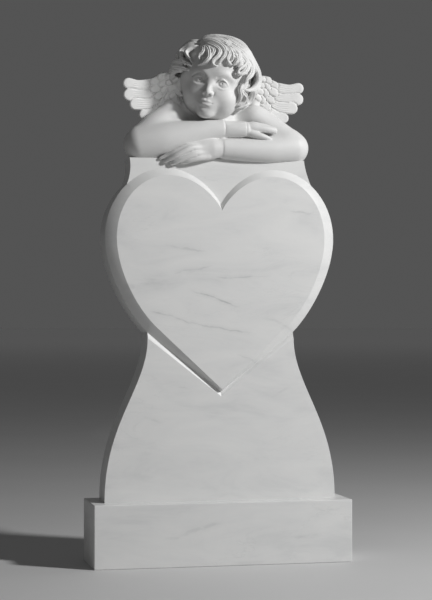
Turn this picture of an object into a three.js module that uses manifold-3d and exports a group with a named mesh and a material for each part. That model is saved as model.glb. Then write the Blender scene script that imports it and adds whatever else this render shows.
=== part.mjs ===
// Marble headstone: a plinth, a waisted stone with a raised heart, and a winged
// cherub that leans on its folded arms along the top of the stone.
// Millimetres, +Z up, +X to the right of someone facing the stone, front at -Y.
// The origin is the middle of the plinth's underside.
import * as THREE from 'three';
import { mergeVertices } from 'three/addons/utils/BufferGeometryUtils.js';
import Module from 'manifold-3d';

const wasm = await Module();
wasm.setup();

// Driving dimensions of the plinth
const PLINTH_WIDTH = 600;
const PLINTH_DEPTH = 164;
const PLINTH_HEIGHT = 144;
const PLINTH_ARRIS = 2;

// Driving dimensions of the stone: its thickness, the planes its faces lie in, and its waist
const STONE_BACK = 40;
const BED_PLANE = -34;
const PANEL_PLANE = -40;
const HEART_PLANE = -48;
const FOOT_HALF = 270;
const WAIST_HALF = 171.5;
const WAIST_Z = 515;
const STONE_TOP = 927;
const TOP_LEFT = -212;
const TOP_RIGHT = 198;
const CURVE_STEPS = 9;

// The heart: half outlines, right side, as cubic curves from the notch to the point.
// Each row is a curve's two control points and its end.
const HEART_NOTCH = [0, 822];
const HEART_CURVES = [
  [[12, 850], [62, 904], [127, 904]],
  [[205, 904], [268.5, 832], [268.5, 745]],
  [[268.5, 668], [216, 574], [171, 529.4]],
  [[121, 485], [58, 440], [0, 392]],
];
const FACE_NOTCH = [0, 808];
const FACE_CURVES = [
  [[12, 834], [58, 887], [122, 887]],
  [[192, 887], [243.5, 822], [243.5, 745]],
  [[243.5, 672], [200, 590], [157, 546]],
  [[108, 499], [52, 448], [0, 399]],
];
const PANEL_CORNER_Z = 516;
const PANEL_POINT_Z = 382.5;

// The cherub's head: its middle, and how it turns, leans and lifts, in degrees
const HEAD_CENTRE = [-9, -2, 1109];
const HEAD_SCALE = 1.06;
const HEAD_YAW = -16;
const HEAD_LEAN = 7.5;
const HEAD_LIFT = 4;
const SKULL = [76, 70, 86];
const FACE = [58, 54, 58];
const HAIR = [88, 72, 86];
const HAIR_CENTRE = [2, 8, 16];

// The clearance between the cherub's overhanging hands and the face of the stone
const CLEARANCE = 0.3;

const vec = (p) => new THREE.Vector3(...p);
const radians = THREE.MathUtils.degToRad;
const mix = THREE.MathUtils.lerp;

// Solids

function solid(geometry) {
  const bare = geometry.clone();
  bare.deleteAttribute('normal');
  bare.deleteAttribute('uv');
  const merged = mergeVertices(bare, 1e-4);
  const index = merged.index.array;
  const kept = [];
  for (let i = 0; i < index.length; i += 3) {
    const [a, b, c] = index.slice(i, i + 3);
    if (a !== b && b !== c && c !== a) kept.push(a, b, c);
  }
  const mesh = new wasm.Mesh({
    numProp: 3,
    vertProperties: new Float32Array(merged.attributes.position.array),
    triVerts: new Uint32Array(kept),
  });
  return new wasm.Manifold(mesh);
}

function joined(solids) {
  return solids.reduce((whole, piece) => whole.add(piece));
}

// The outer shell alone, so that no pocket stays sealed where many forms meet
function outerShell(whole) {
  const shells = whole.decompose();
  return shells.reduce((largest, shell) => (shell.volume() > largest.volume() ? shell : largest));
}

function geometryOf(manifold) {
  const { vertProperties, triVerts } = manifold.getMesh();
  const geometry = new THREE.BufferGeometry();
  geometry.setAttribute('position', new THREE.BufferAttribute(vertProperties, 3));
  geometry.setIndex(new THREE.BufferAttribute(triVerts, 1));
  geometry.computeVertexNormals();
  return geometry;
}

// A prism between two outlines of the same number of points, in planes of constant Y
function loft(back, front, yBack, yFront) {
  const count = back.length;
  const place = [];
  for (const p of back) place.push(p.x, yBack, p.y);
  for (const p of front) place.push(p.x, yFront, p.y);
  const index = [];
  for (let i = 0; i < count; i += 1) {
    const j = (i + 1) % count;
    index.push(i, j, count + j, i, count + j, count + i);
  }
  for (const [a, b, c] of THREE.ShapeUtils.triangulateShape(back, [])) index.push(c, b, a);
  for (const [a, b, c] of THREE.ShapeUtils.triangulateShape(front, [])) {
    index.push(count + a, count + b, count + c);
  }
  const geometry = new THREE.BufferGeometry();
  geometry.setAttribute('position', new THREE.Float32BufferAttribute(place, 3));
  geometry.setIndex(index);
  return geometry;
}

// An egg: a sphere with three radii, turned by angles in degrees
function egg(centre, radii, around = 12, up = 8, turn = [0, 0, 0]) {
  const geometry = new THREE.SphereGeometry(1, around, up);
  geometry.rotateX(Math.PI / 2);
  geometry.scale(...radii);
  const angles = turn.map(radians);
  geometry.applyMatrix4(new THREE.Matrix4().makeRotationFromEuler(new THREE.Euler(...angles)));
  geometry.translate(...centre);
  return geometry;
}

// A limb, finger or lock: a tube with round ends through balls of x, y, z and radius.
// Its ends close in by as much as the last value says: 0 is cut square, 1 runs out to a point.
function limb(balls, sides, steps, closing = 0.85) {
  const centres = balls.map(vec);
  const radii = balls.map((ball) => ball[3]);
  const last = centres.length - 1;
  const reach = (end, inner, radius) => end.clone().sub(inner).setLength(radius).add(end);
  const path = new THREE.CatmullRomCurve3([
    reach(centres[0], centres[1], radii[0]),
    ...centres,
    reach(centres[last], centres[last - 1], radii[last]),
  ]);
  const swell = new THREE.SplineCurve([radii[0], ...radii, radii[last]].map((r, i) => new THREE.Vector2(i, r)));
  const section = new THREE.Shape(Array.from({ length: sides }, (_, i) => {
    const angle = (2 * Math.PI * i) / sides;
    return new THREE.Vector2(Math.cos(angle), Math.sin(angle));
  }));
  const geometry = new THREE.ExtrudeGeometry(section, { steps, extrudePath: path, bevelEnabled: false });
  const length = path.getLength();
  const rings = path.getSpacedPoints(steps).map((centre, i) => {
    const way = i / steps;
    const radius = swell.getPoint(path.getUtoTmapping(way)).y;
    const startGap = 1 - Math.min(1, (way * length) / radii[0]);
    const endGap = 1 - Math.min(1, ((1 - way) * length) / radii[last]);
    const round = Math.sqrt(1 - (closing * Math.max(startGap, endGap)) ** 2);
    return { centre, radius: radius * Math.max(round, 0.25) };
  });
  const position = geometry.attributes.position;
  for (let i = 0; i < position.count; i += 1) {
    const point = new THREE.Vector3().fromBufferAttribute(position, i);
    const gaps = rings.map((ring) => ring.centre.distanceToSquared(point));
    const ring = rings[gaps.indexOf(Math.min(...gaps))];
    point.sub(ring.centre).multiplyScalar(ring.radius).add(ring.centre);
    position.setXYZ(i, point.x, point.y, point.z);
  }
  return geometry;
}

// The outline of a heart from its half, as points that run round it once
function heartOutline(notch, curves) {
  const half = new THREE.Path();
  half.moveTo(...notch);
  for (const [a, b, end] of curves) half.bezierCurveTo(...a, ...b, ...end);
  const right = half.getPoints(CURVE_STEPS);
  const left = right.slice(1, -1).map((p) => new THREE.Vector2(-p.x, p.y)).reverse();
  return [...right, ...left].reverse();
}

// The curved side of the stone from its foot to its waist, right side
function waistCurve() {
  const side = new THREE.Path();
  side.moveTo(FOOT_HALF, PLINTH_HEIGHT);
  side.bezierCurveTo(FOOT_HALF + 2, 325, WAIST_HALF, 405, WAIST_HALF, WAIST_Z);
  return side.getPoints(CURVE_STEPS + 3);
}

function mirrored(points) {
  return points.map((p) => new THREE.Vector2(-p.x, p.y)).reverse();
}

function lowerOutline(cornerZ, pointZ) {
  const right = [...waistCurve(), new THREE.Vector2(WAIST_HALF - 0.5, cornerZ)];
  return [...right, new THREE.Vector2(0, pointZ), ...mirrored(right)];
}

function upperOutline() {
  const outline = new THREE.Path();
  outline.moveTo(120, 780);
  outline.lineTo(219, 860);
  outline.quadraticCurveTo(TOP_RIGHT + 4, 895, TOP_RIGHT, STONE_TOP);
  outline.lineTo(TOP_LEFT, STONE_TOP);
  outline.quadraticCurveTo(TOP_LEFT + 6, 895, -220, 862);
  outline.lineTo(-120, 780);
  return outline.getPoints(CURVE_STEPS - 3);
}

// The pieces

function makePlinth() {
  const outline = new THREE.Shape();
  const halfWidth = PLINTH_WIDTH / 2 - PLINTH_ARRIS;
  const halfDepth = PLINTH_DEPTH / 2 - PLINTH_ARRIS;
  outline.moveTo(-halfWidth, -halfDepth);
  outline.lineTo(halfWidth, -halfDepth);
  outline.lineTo(halfWidth, halfDepth);
  outline.lineTo(-halfWidth, halfDepth);
  return new THREE.ExtrudeGeometry(outline, {
    depth: PLINTH_HEIGHT - 2 * PLINTH_ARRIS,
    bevelSize: PLINTH_ARRIS,
    bevelThickness: PLINTH_ARRIS,
    bevelSegments: 1,
  }).translate(0, 0, PLINTH_ARRIS);
}

function makeHeadstone() {
  const heart = heartOutline(HEART_NOTCH, HEART_CURVES);
  const face = heartOutline(FACE_NOTCH, FACE_CURVES);
  const lower = lowerOutline(HEART_CURVES[2][2][1], HEART_CURVES[3][2][1]);
  const panel = lowerOutline(PANEL_CORNER_Z, PANEL_POINT_Z);
  const upper = upperOutline();
  const inside = lowerOutline(HEART_CURVES[2][2][1], HEART_CURVES[3][2][1] + 90);
  return geometryOf(joined([
    solid(loft(heart, heart, STONE_BACK, BED_PLANE)),
    solid(loft(upper, upper, STONE_BACK, BED_PLANE)),
    solid(loft(inside, inside, STONE_BACK, BED_PLANE)),
    solid(loft(lower, panel, BED_PLANE, PANEL_PLANE)),
    solid(loft(heart, face, BED_PLANE, HEART_PLANE)),
  ]));
}

// Arms, hands and body. Each ball is x, y, z and a radius.

const LEFT_ELBOW = [-184, 0, 965, 39.5];
const LEFT_UPPER_ARM = [[-108, 14, 1030, 31], [-146, 8, 1000, 34], [-178, 2, 972, 36]];
const LEFT_FOREARM = [[-176, -1, 966, 37], [-112, -8, 972, 41], [-50, -20, 984, 30], [-14, -29, 992, 21]];
const LEFT_WRIST = [[18, -36, 995, 17.5], [54, -36, 995, 16.5]];
const LEFT_PALM = [76, -38, 998];
const LEFT_FINGERS = [
  [[78, -30, 1006, 7.5], [104, -28, 1006, 7], [127, -24, 1002, 6]],
  [[80, -40, 1001, 7.5], [106, -41, 1000, 7], [131, -42, 993, 6]],
  [[76, -46, 994, 7.5], [102, -50, 991, 7], [124, -52, 985, 6]],
  [[66, -48, 987, 7.5], [90, -55, 982, 7], [111, -58, 974, 6]],
];
const RIGHT_ELBOW = [170, -14, 961, 40];
const RIGHT_UPPER_ARM = [[92, 14, 1028, 30], [130, 7, 1001, 31], [162, -10, 970, 36]];
const RIGHT_FOREARM = [[163, -15, 960, 37], [110, -26, 952, 32], [50, -32, 949, 24.5], [20, -36, 946, 21]];
const RIGHT_PALM = [-32, -42, 942];
const RIGHT_FINGERS = [
  [[-84, -42, 950, 6.5], [-112, -44, 941, 6.5], [-137, -43, 932, 5]],
  [[-68, -47, 951, 8], [-104, -50, 940, 7.5], [-131, -47, 926, 6]],
  [[-62, -48, 939, 8], [-94, -51, 928, 7.5], [-119, -47, 918, 6]],
  [[-54, -46, 929, 8], [-84, -50, 921, 7.5], [-106, -47, 915, 6]],
];

function ball([x, y, z, radius], around, up) {
  return egg([x, y, z], [radius, radius, radius], around, up);
}

function makeBody() {
  return [
    solid(limb(LEFT_UPPER_ARM, 12, 6)),
    solid(ball(LEFT_ELBOW, 14, 10)),
    solid(limb(LEFT_FOREARM, 12, 8)),
    solid(limb(LEFT_WRIST, 12, 5, 0.6)),
    solid(egg(LEFT_PALM, [24, 17, 12], 10, 6)),
    ...LEFT_FINGERS.map((finger) => solid(limb(finger, 6, 4, 0.7))),
    solid(limb(RIGHT_UPPER_ARM, 12, 6)),
    solid(ball(RIGHT_ELBOW, 14, 10)),
    solid(limb(RIGHT_FOREARM, 12, 8)),
    solid(egg(RIGHT_PALM, [38, 16, 20], 12, 8, [0, -14, 0])),
    ...RIGHT_FINGERS.map((finger) => solid(limb(finger, 6, 4, 0.7))),
    solid(egg([-6, 18, 975], [122, 38, 84], 14, 6)),
    solid(limb([[-8, 14, 1010, 44], [-10, 8, 1050, 40]], 10, 3, 0.5)),
  ];
}

// Wings: long feathers fanned behind short ones, each a rounded blade

const FEATHER_STEPS = 3;
const WING_DEPTH = 11;

function feather(root, angle, length, width, thickness) {
  const outline = new THREE.Shape();
  outline.moveTo(0, -0.35 * width);
  outline.lineTo(length - width / 2, -width / 2);
  outline.quadraticCurveTo(length, -width / 2, length, 0);
  outline.quadraticCurveTo(length, width / 2, length - width / 2, width / 2);
  outline.lineTo(0, 0.35 * width);
  const geometry = new THREE.ExtrudeGeometry(outline, {
    depth: thickness,
    bevelEnabled: false,
    curveSegments: FEATHER_STEPS,
  });
  geometry.rotateX(Math.PI / 2);
  geometry.rotateY(-radians(angle));
  geometry.translate(...root);
  return geometry;
}

// One row of feathers: how many, where the first root is, and what each next one adds
function featherRow(count, first, next) {
  return Array.from({ length: count }, (_, i) => {
    const row = first.map((value, k) => value + i * next[k]);
    const [x, y, z, angle, length, width] = row;
    return solid(feather([x, y, z], angle, length, width, WING_DEPTH));
  });
}

function makeWing(side) {
  const rows = [
    ...featherRow(4, [112, 42, 1102, 3, 100, 31], [0, -2, -12, -14, -5.5, -1.5]),
    ...featherRow(4, [108, 36, 1112, 8, 52, 24], [1, -1, -13, -13, -2, 0]),
    ...featherRow(4, [104, 32, 1114, 10, 34, 22], [1, -1, -14, -12, -1, 0]),
    solid(limb([[94, 34, 1060, 15], [112, 34, 1102, 12]], 8, 3)),
  ];
  const wing = joined(rows);
  return side > 0 ? wing : wing.mirror([1, 0, 0]);
}

// The head, in its own frame: face towards -Y, origin at its middle

function faceParts() {
  const both = (make) => [-1, 1].map((side) => solid(make(side)));
  return [
    solid(egg([0, 6, 14], SKULL, 16, 10)),
    solid(egg([0, -6, -32], FACE, 16, 10)),
    ...both((side) => egg([side * 27, -34, -40], [29, 20, 23], 8, 6)),
    solid(egg([0, -42, -80], [20, 16, 12], 8, 6)),
    solid(limb([[0, -58, -10, 6], [0, -67, -32, 8.5]], 6, 4)),
    ...both((side) => egg([side * 9, -61, -36], [6, 7, 5.5], 6, 4)),
    ...both((side) => egg([side * 27, -52, 9], [20, 10, 5], 8, 4, [0, side * 8, 0])),
    solid(egg([0, -59, -54], [16, 8, 4], 6, 4)),
    solid(egg([0, -57, -62], [13, 8, 4.5], 6, 4)),
    ...both((side) => egg([side * 76, 8, -14], [7, 14, 20], 8, 5)),
  ];
}

function eyeParts() {
  return [-1, 1].map((side) => ({
    socket: solid(egg([side * 27, -63, -9], [16, 11, 9], 8, 6)),
    ball: solid(egg([side * 26, -46, -9], [15, 12, 11], 8, 6)),
  }));
}

// A point over the hair: angle round the head from the face, angle up, and height off it
function overHair(around, up, lift) {
  const a = radians(around);
  const e = radians(up);
  return new THREE.Vector3(
    HAIR_CENTRE[0] + (HAIR[0] + lift) * Math.sin(a) * Math.cos(e),
    HAIR_CENTRE[1] - (HAIR[1] + lift) * Math.cos(a) * Math.cos(e),
    HAIR_CENTRE[2] + (HAIR[2] + lift) * Math.sin(e),
  );
}

// A wavy lock that runs over the head from one place to another
function lock(from, to, wave, radius) {
  const balls = Array.from({ length: 5 }, (_, i) => {
    const t = i / 4;
    const around = mix(from[0], to[0], t) + wave * Math.sin(2 * Math.PI * t);
    const up = mix(from[1], to[1], t);
    return [...overHair(around, up, mix(from[2], to[2], t)), mix(radius, 0.6 * radius, t * t)];
  });
  return solid(limb(balls, 5, 6, 1));
}

// Where the hair ends at an angle round the head: high over the brow, low beside the neck
function hairline(around) {
  const reach = around > 0 ? around / 90 : -around / 120;
  return mix(36, -34, Math.min(1, reach));
}

// A row of locks side by side, all starting near the crown
function lockRow({ count, first, last, crown, wave, radius, lift, drop = 0 }) {
  return Array.from({ length: count }, (_, i) => {
    const around = mix(first, last, i / (count - 1));
    const start = [mix(around, CROWN[0], 0.5 * crown), mix(30, CROWN[1], crown), lift - 8];
    return lock(start, [around, hairline(around) - drop, lift], wave, radius);
  });
}

const CROWN = [-30, 66];

function hairParts() {
  return [
    solid(egg([2, 12, 20], [84, 66, 80], 14, 8)),
    solid(egg([2, 34, -20], [76, 40, 52], 12, 6)),
    ...lockRow({ count: 6, first: 6, last: 106, crown: 0.9, wave: 8, radius: 14, lift: 4 }),
    ...lockRow({ count: 5, first: -20, last: -122, crown: 0.9, wave: -8, radius: 14, lift: 4 }),
    ...lockRow({ count: 4, first: 22, last: 96, crown: 0.2, wave: 7, radius: 11, lift: 9, drop: 6 }),
    ...lockRow({ count: 3, first: -70, last: -118, crown: 0.1, wave: -7, radius: 11, lift: 9, drop: 4 }),
    ...lockRow({ count: 3, first: 136, last: 214, crown: 0.6, wave: 6, radius: 18, lift: -3 }),
  ];
}

function makeHead() {
  const eyes = eyeParts();
  const face = eyes.reduce((whole, eye) => whole.subtract(eye.socket).add(eye.ball), joined(faceParts()));
  const head = joined([face, ...hairParts()]);
  const turn = new THREE.Euler(-radians(HEAD_LIFT), radians(HEAD_LEAN), radians(HEAD_YAW), 'ZYX');
  const size = new THREE.Vector3(HEAD_SCALE, HEAD_SCALE, HEAD_SCALE);
  const matrix = new THREE.Matrix4().compose(vec(HEAD_CENTRE), new THREE.Quaternion().setFromEuler(turn), size);
  return head.transform(matrix.elements);
}

function makeCherub() {
  const figure = joined([...makeBody(), makeWing(1), makeWing(-1), makeHead()]);
  const bed = new THREE.BoxGeometry(PLINTH_WIDTH, 300, 300);
  bed.translate(0, BED_PLANE - CLEARANCE + 150, STONE_TOP - 150);
  return geometryOf(outerShell(figure.subtract(solid(bed))));
}

// Materials and the finished group

const veinedMarble = new THREE.MeshStandardMaterial({ color: 0xdcdcda, roughness: 0.42, metalness: 0 });
const plainMarble = new THREE.MeshStandardMaterial({ color: 0xe4e4e2, roughness: 0.55, metalness: 0 });

function named(name, geometry, material) {
  const mesh = new THREE.Mesh(geometry, material.clone());
  mesh.name = name;
  return mesh;
}

const group = new THREE.Group();
group.add(
  named('plinth', makePlinth(), veinedMarble),
  named('headstone', makeHeadstone(), veinedMarble),
  named('cherub', makeCherub(), plainMarble),
);

export default group;
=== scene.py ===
"""The looks of the marble headstone: plinth, waisted stone with a raised heart, and the winged cherub.

The stones are cut with mesh tools. The cherub is carved in a block of voxels, as a sculptor
works clay: rounded masses are added, hollows are cut, and locks and feathers are laid on in rows.
Numbers are millimetres in the part's own frame, and every mesh is scaled to metres when it is made.
The veins, the floor, the lamps and the camera are in metres. Left and right are as seen from the front.
"""

import itertools
import math

import bmesh
import bpy
import numpy as np
import openvdb
from mathutils import Euler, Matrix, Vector


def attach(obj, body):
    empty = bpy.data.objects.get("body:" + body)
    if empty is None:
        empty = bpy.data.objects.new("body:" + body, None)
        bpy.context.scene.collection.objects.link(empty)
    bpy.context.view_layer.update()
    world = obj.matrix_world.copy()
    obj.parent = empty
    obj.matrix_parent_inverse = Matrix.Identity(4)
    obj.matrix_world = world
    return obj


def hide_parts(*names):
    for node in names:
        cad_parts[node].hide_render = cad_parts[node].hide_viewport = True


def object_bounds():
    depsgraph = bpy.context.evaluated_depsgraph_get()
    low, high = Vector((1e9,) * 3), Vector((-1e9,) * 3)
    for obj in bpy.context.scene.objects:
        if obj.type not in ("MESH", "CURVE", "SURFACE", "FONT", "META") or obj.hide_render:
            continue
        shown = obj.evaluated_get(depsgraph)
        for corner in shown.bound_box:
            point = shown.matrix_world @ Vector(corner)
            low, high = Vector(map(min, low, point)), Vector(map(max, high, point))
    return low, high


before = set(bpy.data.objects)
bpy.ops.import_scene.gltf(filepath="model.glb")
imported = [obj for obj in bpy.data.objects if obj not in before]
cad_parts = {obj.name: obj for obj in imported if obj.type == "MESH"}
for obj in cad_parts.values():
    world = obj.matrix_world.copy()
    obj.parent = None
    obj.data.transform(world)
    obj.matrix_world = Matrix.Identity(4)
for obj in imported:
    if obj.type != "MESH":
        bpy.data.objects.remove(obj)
cad_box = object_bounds()

MM = 0.001

# Plinth and stone, as the part's source has them
PLINTH_SIZE = (600.0, 164.0, 144.0)
STONE_BACK = 40.0
BED_PLANE = -34.0
PANEL_PLANE = -40.0
HEART_PLANE = -48.0
FOOT_HALF = 270.0
WAIST_HALF = 171.5
WAIST_Z = 515.0
STONE_TOP = 927.0
TOP_LEFT = -212.0
TOP_RIGHT = 198.0
SIDE_CURVE = ((FOOT_HALF + 2, 325), (WAIST_HALF, 405), (WAIST_HALF, WAIST_Z))
SHOULDER_ROOT = (120, 780)
RIGHT_SHOULDER = ((219, 860), (207.7, 883.3), (200.7, 905.7), (TOP_RIGHT, STONE_TOP))
LEFT_SHOULDER = ((TOP_LEFT, STONE_TOP), (-208, 905.7), (-210.7, 884), (-220, 862))
HEART_NOTCH = (0, 822)
HEART_CURVES = [
    ((12, 850), (62, 904), (127, 904)),
    ((205, 904), (268.5, 832), (268.5, 745)),
    ((268.5, 668), (216, 574), (171, 529.4)),
    ((121, 485), (58, 440), (0, 392)),
]
FACE_NOTCH = (0, 808)
FACE_CURVES = [
    ((12, 834), (58, 887), (122, 887)),
    ((192, 887), (243.5, 822), (243.5, 745)),
    ((243.5, 672), (200, 590), (157, 546)),
    ((108, 499), (52, 448), (0, 399)),
]
HEART_CORNER = HEART_CURVES[2][-1]
HEART_POINT = HEART_CURVES[3][-1]
PANEL_CORNER_Z = 516.0
PANEL_POINT_Z = 382.5

# Finer than in the part's source
CURVE_STEPS = 22
SIDE_STEPS = 34
STONE_ARRIS = 1.3
PLINTH_ARRIS = 2.0
POINT_LAP = 90
# Limits for the mesh tools: a distance in metres, angles in radians, and how far a flat face may lean
WELD = 0.00002
FLAT_ANGLE = 0.004
ARRIS_ANGLE = 0.3
SHARP_ANGLE = 0.42
FLAT_FRONT = 0.985


# Finishes

class Shade:
    """A number that varies over a surface, with arithmetic that adds its Math nodes."""

    def __init__(self, finish, socket):
        self.finish = finish
        self.socket = socket

    def maths(self, operation, *values):
        return self.finish.node("Math", {"operation": operation}, *values)

    def __add__(self, other):
        return self.maths("ADD", self, other)

    __radd__ = __add__

    def __sub__(self, other):
        return self.maths("SUBTRACT", self, other)

    def __rsub__(self, other):
        return self.maths("SUBTRACT", other, self)

    def __mul__(self, other):
        return self.maths("MULTIPLY", self, other)

    __rmul__ = __mul__

    def __pow__(self, other):
        return self.maths("POWER", self, other)

    def __abs__(self):
        return self.maths("ABSOLUTE", self)

    def least(self, other):
        return self.maths("MINIMUM", self, other)

    def most(self, other):
        return self.maths("MAXIMUM", self, other)

    def ramp(self, low, high):
        """0 at low, 1 at high, eased between them."""
        settings = {"interpolation_type": "SMOOTHSTEP"}
        return self.finish.node("MapRange", settings, Value=self, **{"From Min": low, "From Max": high})


class Finish:
    """A material, and the one way to add nodes to it."""

    def __init__(self, name, roughness):
        self.material = bpy.data.materials.new(name)
        self.material.use_nodes = True
        self.tree = self.material.node_tree
        self.shader = self.tree.nodes["Principled BSDF"]
        self.shader.inputs["Roughness"].default_value = roughness
        self.place = self.node("TexCoord", {}, take="Object")

    def link(self, socket, value):
        if isinstance(value, Shade):
            self.tree.links.new(value.socket, socket)
        else:
            socket.default_value = value

    def node(self, kind, settings, *values, take=0, **named):
        """A new node with its settings, then its sockets' values or links, in order or by name."""
        made = self.tree.nodes.new("ShaderNode" + kind)
        for key, setting in settings.items():
            setattr(made, key, setting)
        for socket, value in zip(made.inputs, values):
            if value is not None:
                self.link(socket, value)
        for key, value in named.items():
            self.link(made.inputs[key], value)
        if take is None:
            return [Shade(self, output) for output in made.outputs]
        return Shade(self, made.outputs[take])

    def feed(self, socket, value):
        """Gives one of the shader's own sockets a value or a link."""
        self.link(self.shader.inputs[socket], value)

    def axes(self):
        return self.node("SeparateXYZ", {}, self.place, take=None)

    def moved(self, scale, turn=(0, 0, 0)):
        return self.node("Mapping", {}, Vector=self.place, Scale=scale, Rotation=turn)

    def noise(self, where, scale, detail=3.0, roughness=0.5, distortion=0.0):
        return self.node(
            "TexNoise", {}, take="Fac",
            Vector=where, Scale=scale, Detail=detail, Roughness=roughness, Distortion=distortion,
        )

    def mixed(self, amount, first, second):
        """Colour mixed by an amount; a Mix node's colours are its sockets 6 and 7, and come out at 2."""
        return self.node("Mix", {"data_type": "RGBA"}, amount, *[None] * 5, first, second, take=2)

    def bump(self, height, strength, distance):
        raised = self.node("Bump", {}, Strength=strength, Distance=distance, Height=height)
        self.feed("Normal", raised)


HONED_WHITE = (0.78, 0.78, 0.77, 1)
HONED_SHADE = (0.71, 0.713, 0.71, 1)
VEIN_GREY = (0.36, 0.37, 0.375, 1)
RUBBED_WHITE = (0.745, 0.743, 0.735, 1)
RUBBED_SHADE = (0.69, 0.69, 0.685, 1)
# The floor's own grey near the stone, then a paler grey painted further out as painted light that makes up
# for the key light's falloff
FLOOR_NEAR = (0.59, 0.59, 0.59, 1)
FLOOR_FAR_PAINTED_LIGHT = (1.0, 1.0, 1.0, 1)
VEIN_FADE = 0.03
# The stone's longer veins, front view, in metres: start, end, half width, how dark
VEINS = [
    ((-0.235, 0.632), (-0.115, 0.648), 0.0060, 0.42),
    ((-0.215, 0.652), (-0.100, 0.640), 0.0030, 0.40),
    ((-0.120, 0.664), (-0.015, 0.688), 0.0022, 0.55),
    ((-0.085, 0.629), (0.050, 0.580), 0.0018, 1.00),
    ((-0.178, 0.584), (-0.060, 0.545), 0.0018, 0.75),
    ((-0.090, 0.555), (0.085, 0.524), 0.0016, 0.65),
    ((-0.140, 0.724), (-0.030, 0.715), 0.0018, 0.50),
    ((-0.020, 0.660), (0.120, 0.650), 0.0016, 0.65),
    ((0.090, 0.560), (0.190, 0.530), 0.0030, 0.30),
    ((0.030, 0.482), (0.095, 0.456), 0.0014, 0.75),
    ((0.150, 0.816), (0.225, 0.810), 0.0016, 0.60),
    ((-0.110, 0.410), (-0.060, 0.398), 0.0022, 0.40),
    ((-0.190, 0.340), (-0.130, 0.320), 0.0035, 0.35),
    ((0.110, 0.380), (0.170, 0.410), 0.0030, 0.30),
    ((-0.150, 0.045), (0.000, 0.085), 0.0040, 0.36),
    ((0.150, 0.050), (0.230, 0.060), 0.0035, 0.40),
    ((0.200, 0.110), (0.290, 0.120), 0.0030, 0.32),
    ((-0.060, 0.128), (0.060, 0.140), 0.0025, 0.30),
]


def veined_marble():
    finish = Finish("veined_marble", 0.42)
    x, y, z = finish.axes()
    wander = finish.noise(finish.place, 7.0, 4.0, 0.55)
    ripple = finish.noise(finish.place, 38.0, 3.0, 0.6)
    drift = (wander - 0.5) * 0.05 + (ripple - 0.5) * 0.006 + (y + 0.046) * 0.35
    fray = finish.noise(finish.moved((1.0, 1.0, 3.0)), 22.0, 3.0, 0.6).ramp(0.34, 0.62)
    lines = None
    for (x0, z0), (x1, z1), half, dark in VEINS:
        slope = (z1 - z0) / (x1 - x0)
        away = abs(z - z0 - (x - x0) * slope + drift)
        inside = x.ramp(x0, x0 + VEIN_FADE) * (1 - x.ramp(x1 - VEIN_FADE, x1))
        core = 1 - away.ramp(half * 0.2, half * 1.5)
        haze = 1 - away.ramp(0.0, half * 6)
        vein = (core * 0.72 + haze * 0.28) * inside * dark
        lines = vein if lines is None else lines.most(vein)
    lines = lines * (0.25 + fray * 0.75)
    clouds = finish.noise(finish.moved((1.0, 1.0, 3.2), turn=(0, 0.22, 0)), 5.0, 6.0, 0.62, 0.6)
    smoke = clouds.ramp(0.50, 0.74)
    hairs = abs(finish.noise(finish.moved((1.0, 1.0, 2.6), turn=(0, 0.3, 0)), 6.0, 5.0, 0.6, 0.4) - 0.5)
    hairs = (1 - hairs.ramp(0.0, 0.012)) * finish.noise(finish.place, 4.0, 2.0).ramp(0.5, 0.7)
    grey = (lines * 0.62 + smoke * 0.13 + hairs * 0.12).least(0.8)
    white = finish.mixed(clouds.ramp(0.2, 0.75), HONED_WHITE, HONED_SHADE)
    colour = finish.mixed(grey, white, VEIN_GREY)
    finish.feed("Base Color", colour)
    polish = 0.40 + finish.noise(finish.place, 60.0, 4.0) * 0.10 + grey * 0.06
    finish.feed("Roughness", polish)
    grain = finish.noise(finish.place, 900.0, 2.0)
    finish.bump(grain, 0.05, 0.0004)
    return finish.material


def plain_marble():
    finish = Finish("plain_marble", 0.55)
    clouds = finish.noise(finish.moved((1.0, 1.0, 2.0)), 9.0, 5.0, 0.55, 0.3)
    colour = finish.mixed(clouds.ramp(0.25, 0.75), RUBBED_WHITE, RUBBED_SHADE)
    finish.feed("Base Color", colour)
    matt = 0.50 + finish.noise(finish.place, 45.0, 4.0) * 0.14
    finish.feed("Roughness", matt)
    grain = finish.noise(finish.place, 700.0, 3.0)
    finish.bump(grain, 0.10, 0.0004)
    return finish.material


# Stones, cut with mesh tools

def cubic(start, first, second, end, steps):
    """Points along a cubic curve, without its start."""
    ways = [i / steps for i in range(1, steps + 1)]
    return [
        tuple(
            (1 - t) ** 3 * start[k] + 3 * (1 - t) ** 2 * t * first[k]
            + 3 * (1 - t) * t * t * second[k] + t ** 3 * end[k]
            for k in (0, 1)
        )
        for t in ways
    ]


def mirrored(points):
    return [(-x, z) for x, z in points][::-1]


def heart_outline(notch, curves):
    right = [notch]
    for first, second, end in curves:
        right += cubic(right[-1], first, second, end, CURVE_STEPS)
    return right + mirrored(right[1:-1])


def lower_outline(corner_z, point_z):
    foot = (FOOT_HALF, PLINTH_SIZE[2])
    side = [foot] + cubic(foot, *SIDE_CURVE, SIDE_STEPS)
    right = side + [(HEART_CORNER[0], corner_z)]
    return right + [(0, point_z)] + mirrored(right)


def upper_outline():
    """The stone above the heart, which reaches down inside it."""
    right = cubic(*RIGHT_SHOULDER, CURVE_STEPS)
    left = cubic(*LEFT_SHOULDER, CURVE_STEPS)
    x, z = SHOULDER_ROOT
    return [(x, z), RIGHT_SHOULDER[0]] + right + [LEFT_SHOULDER[0]] + left + [(-x, z)]


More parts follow.
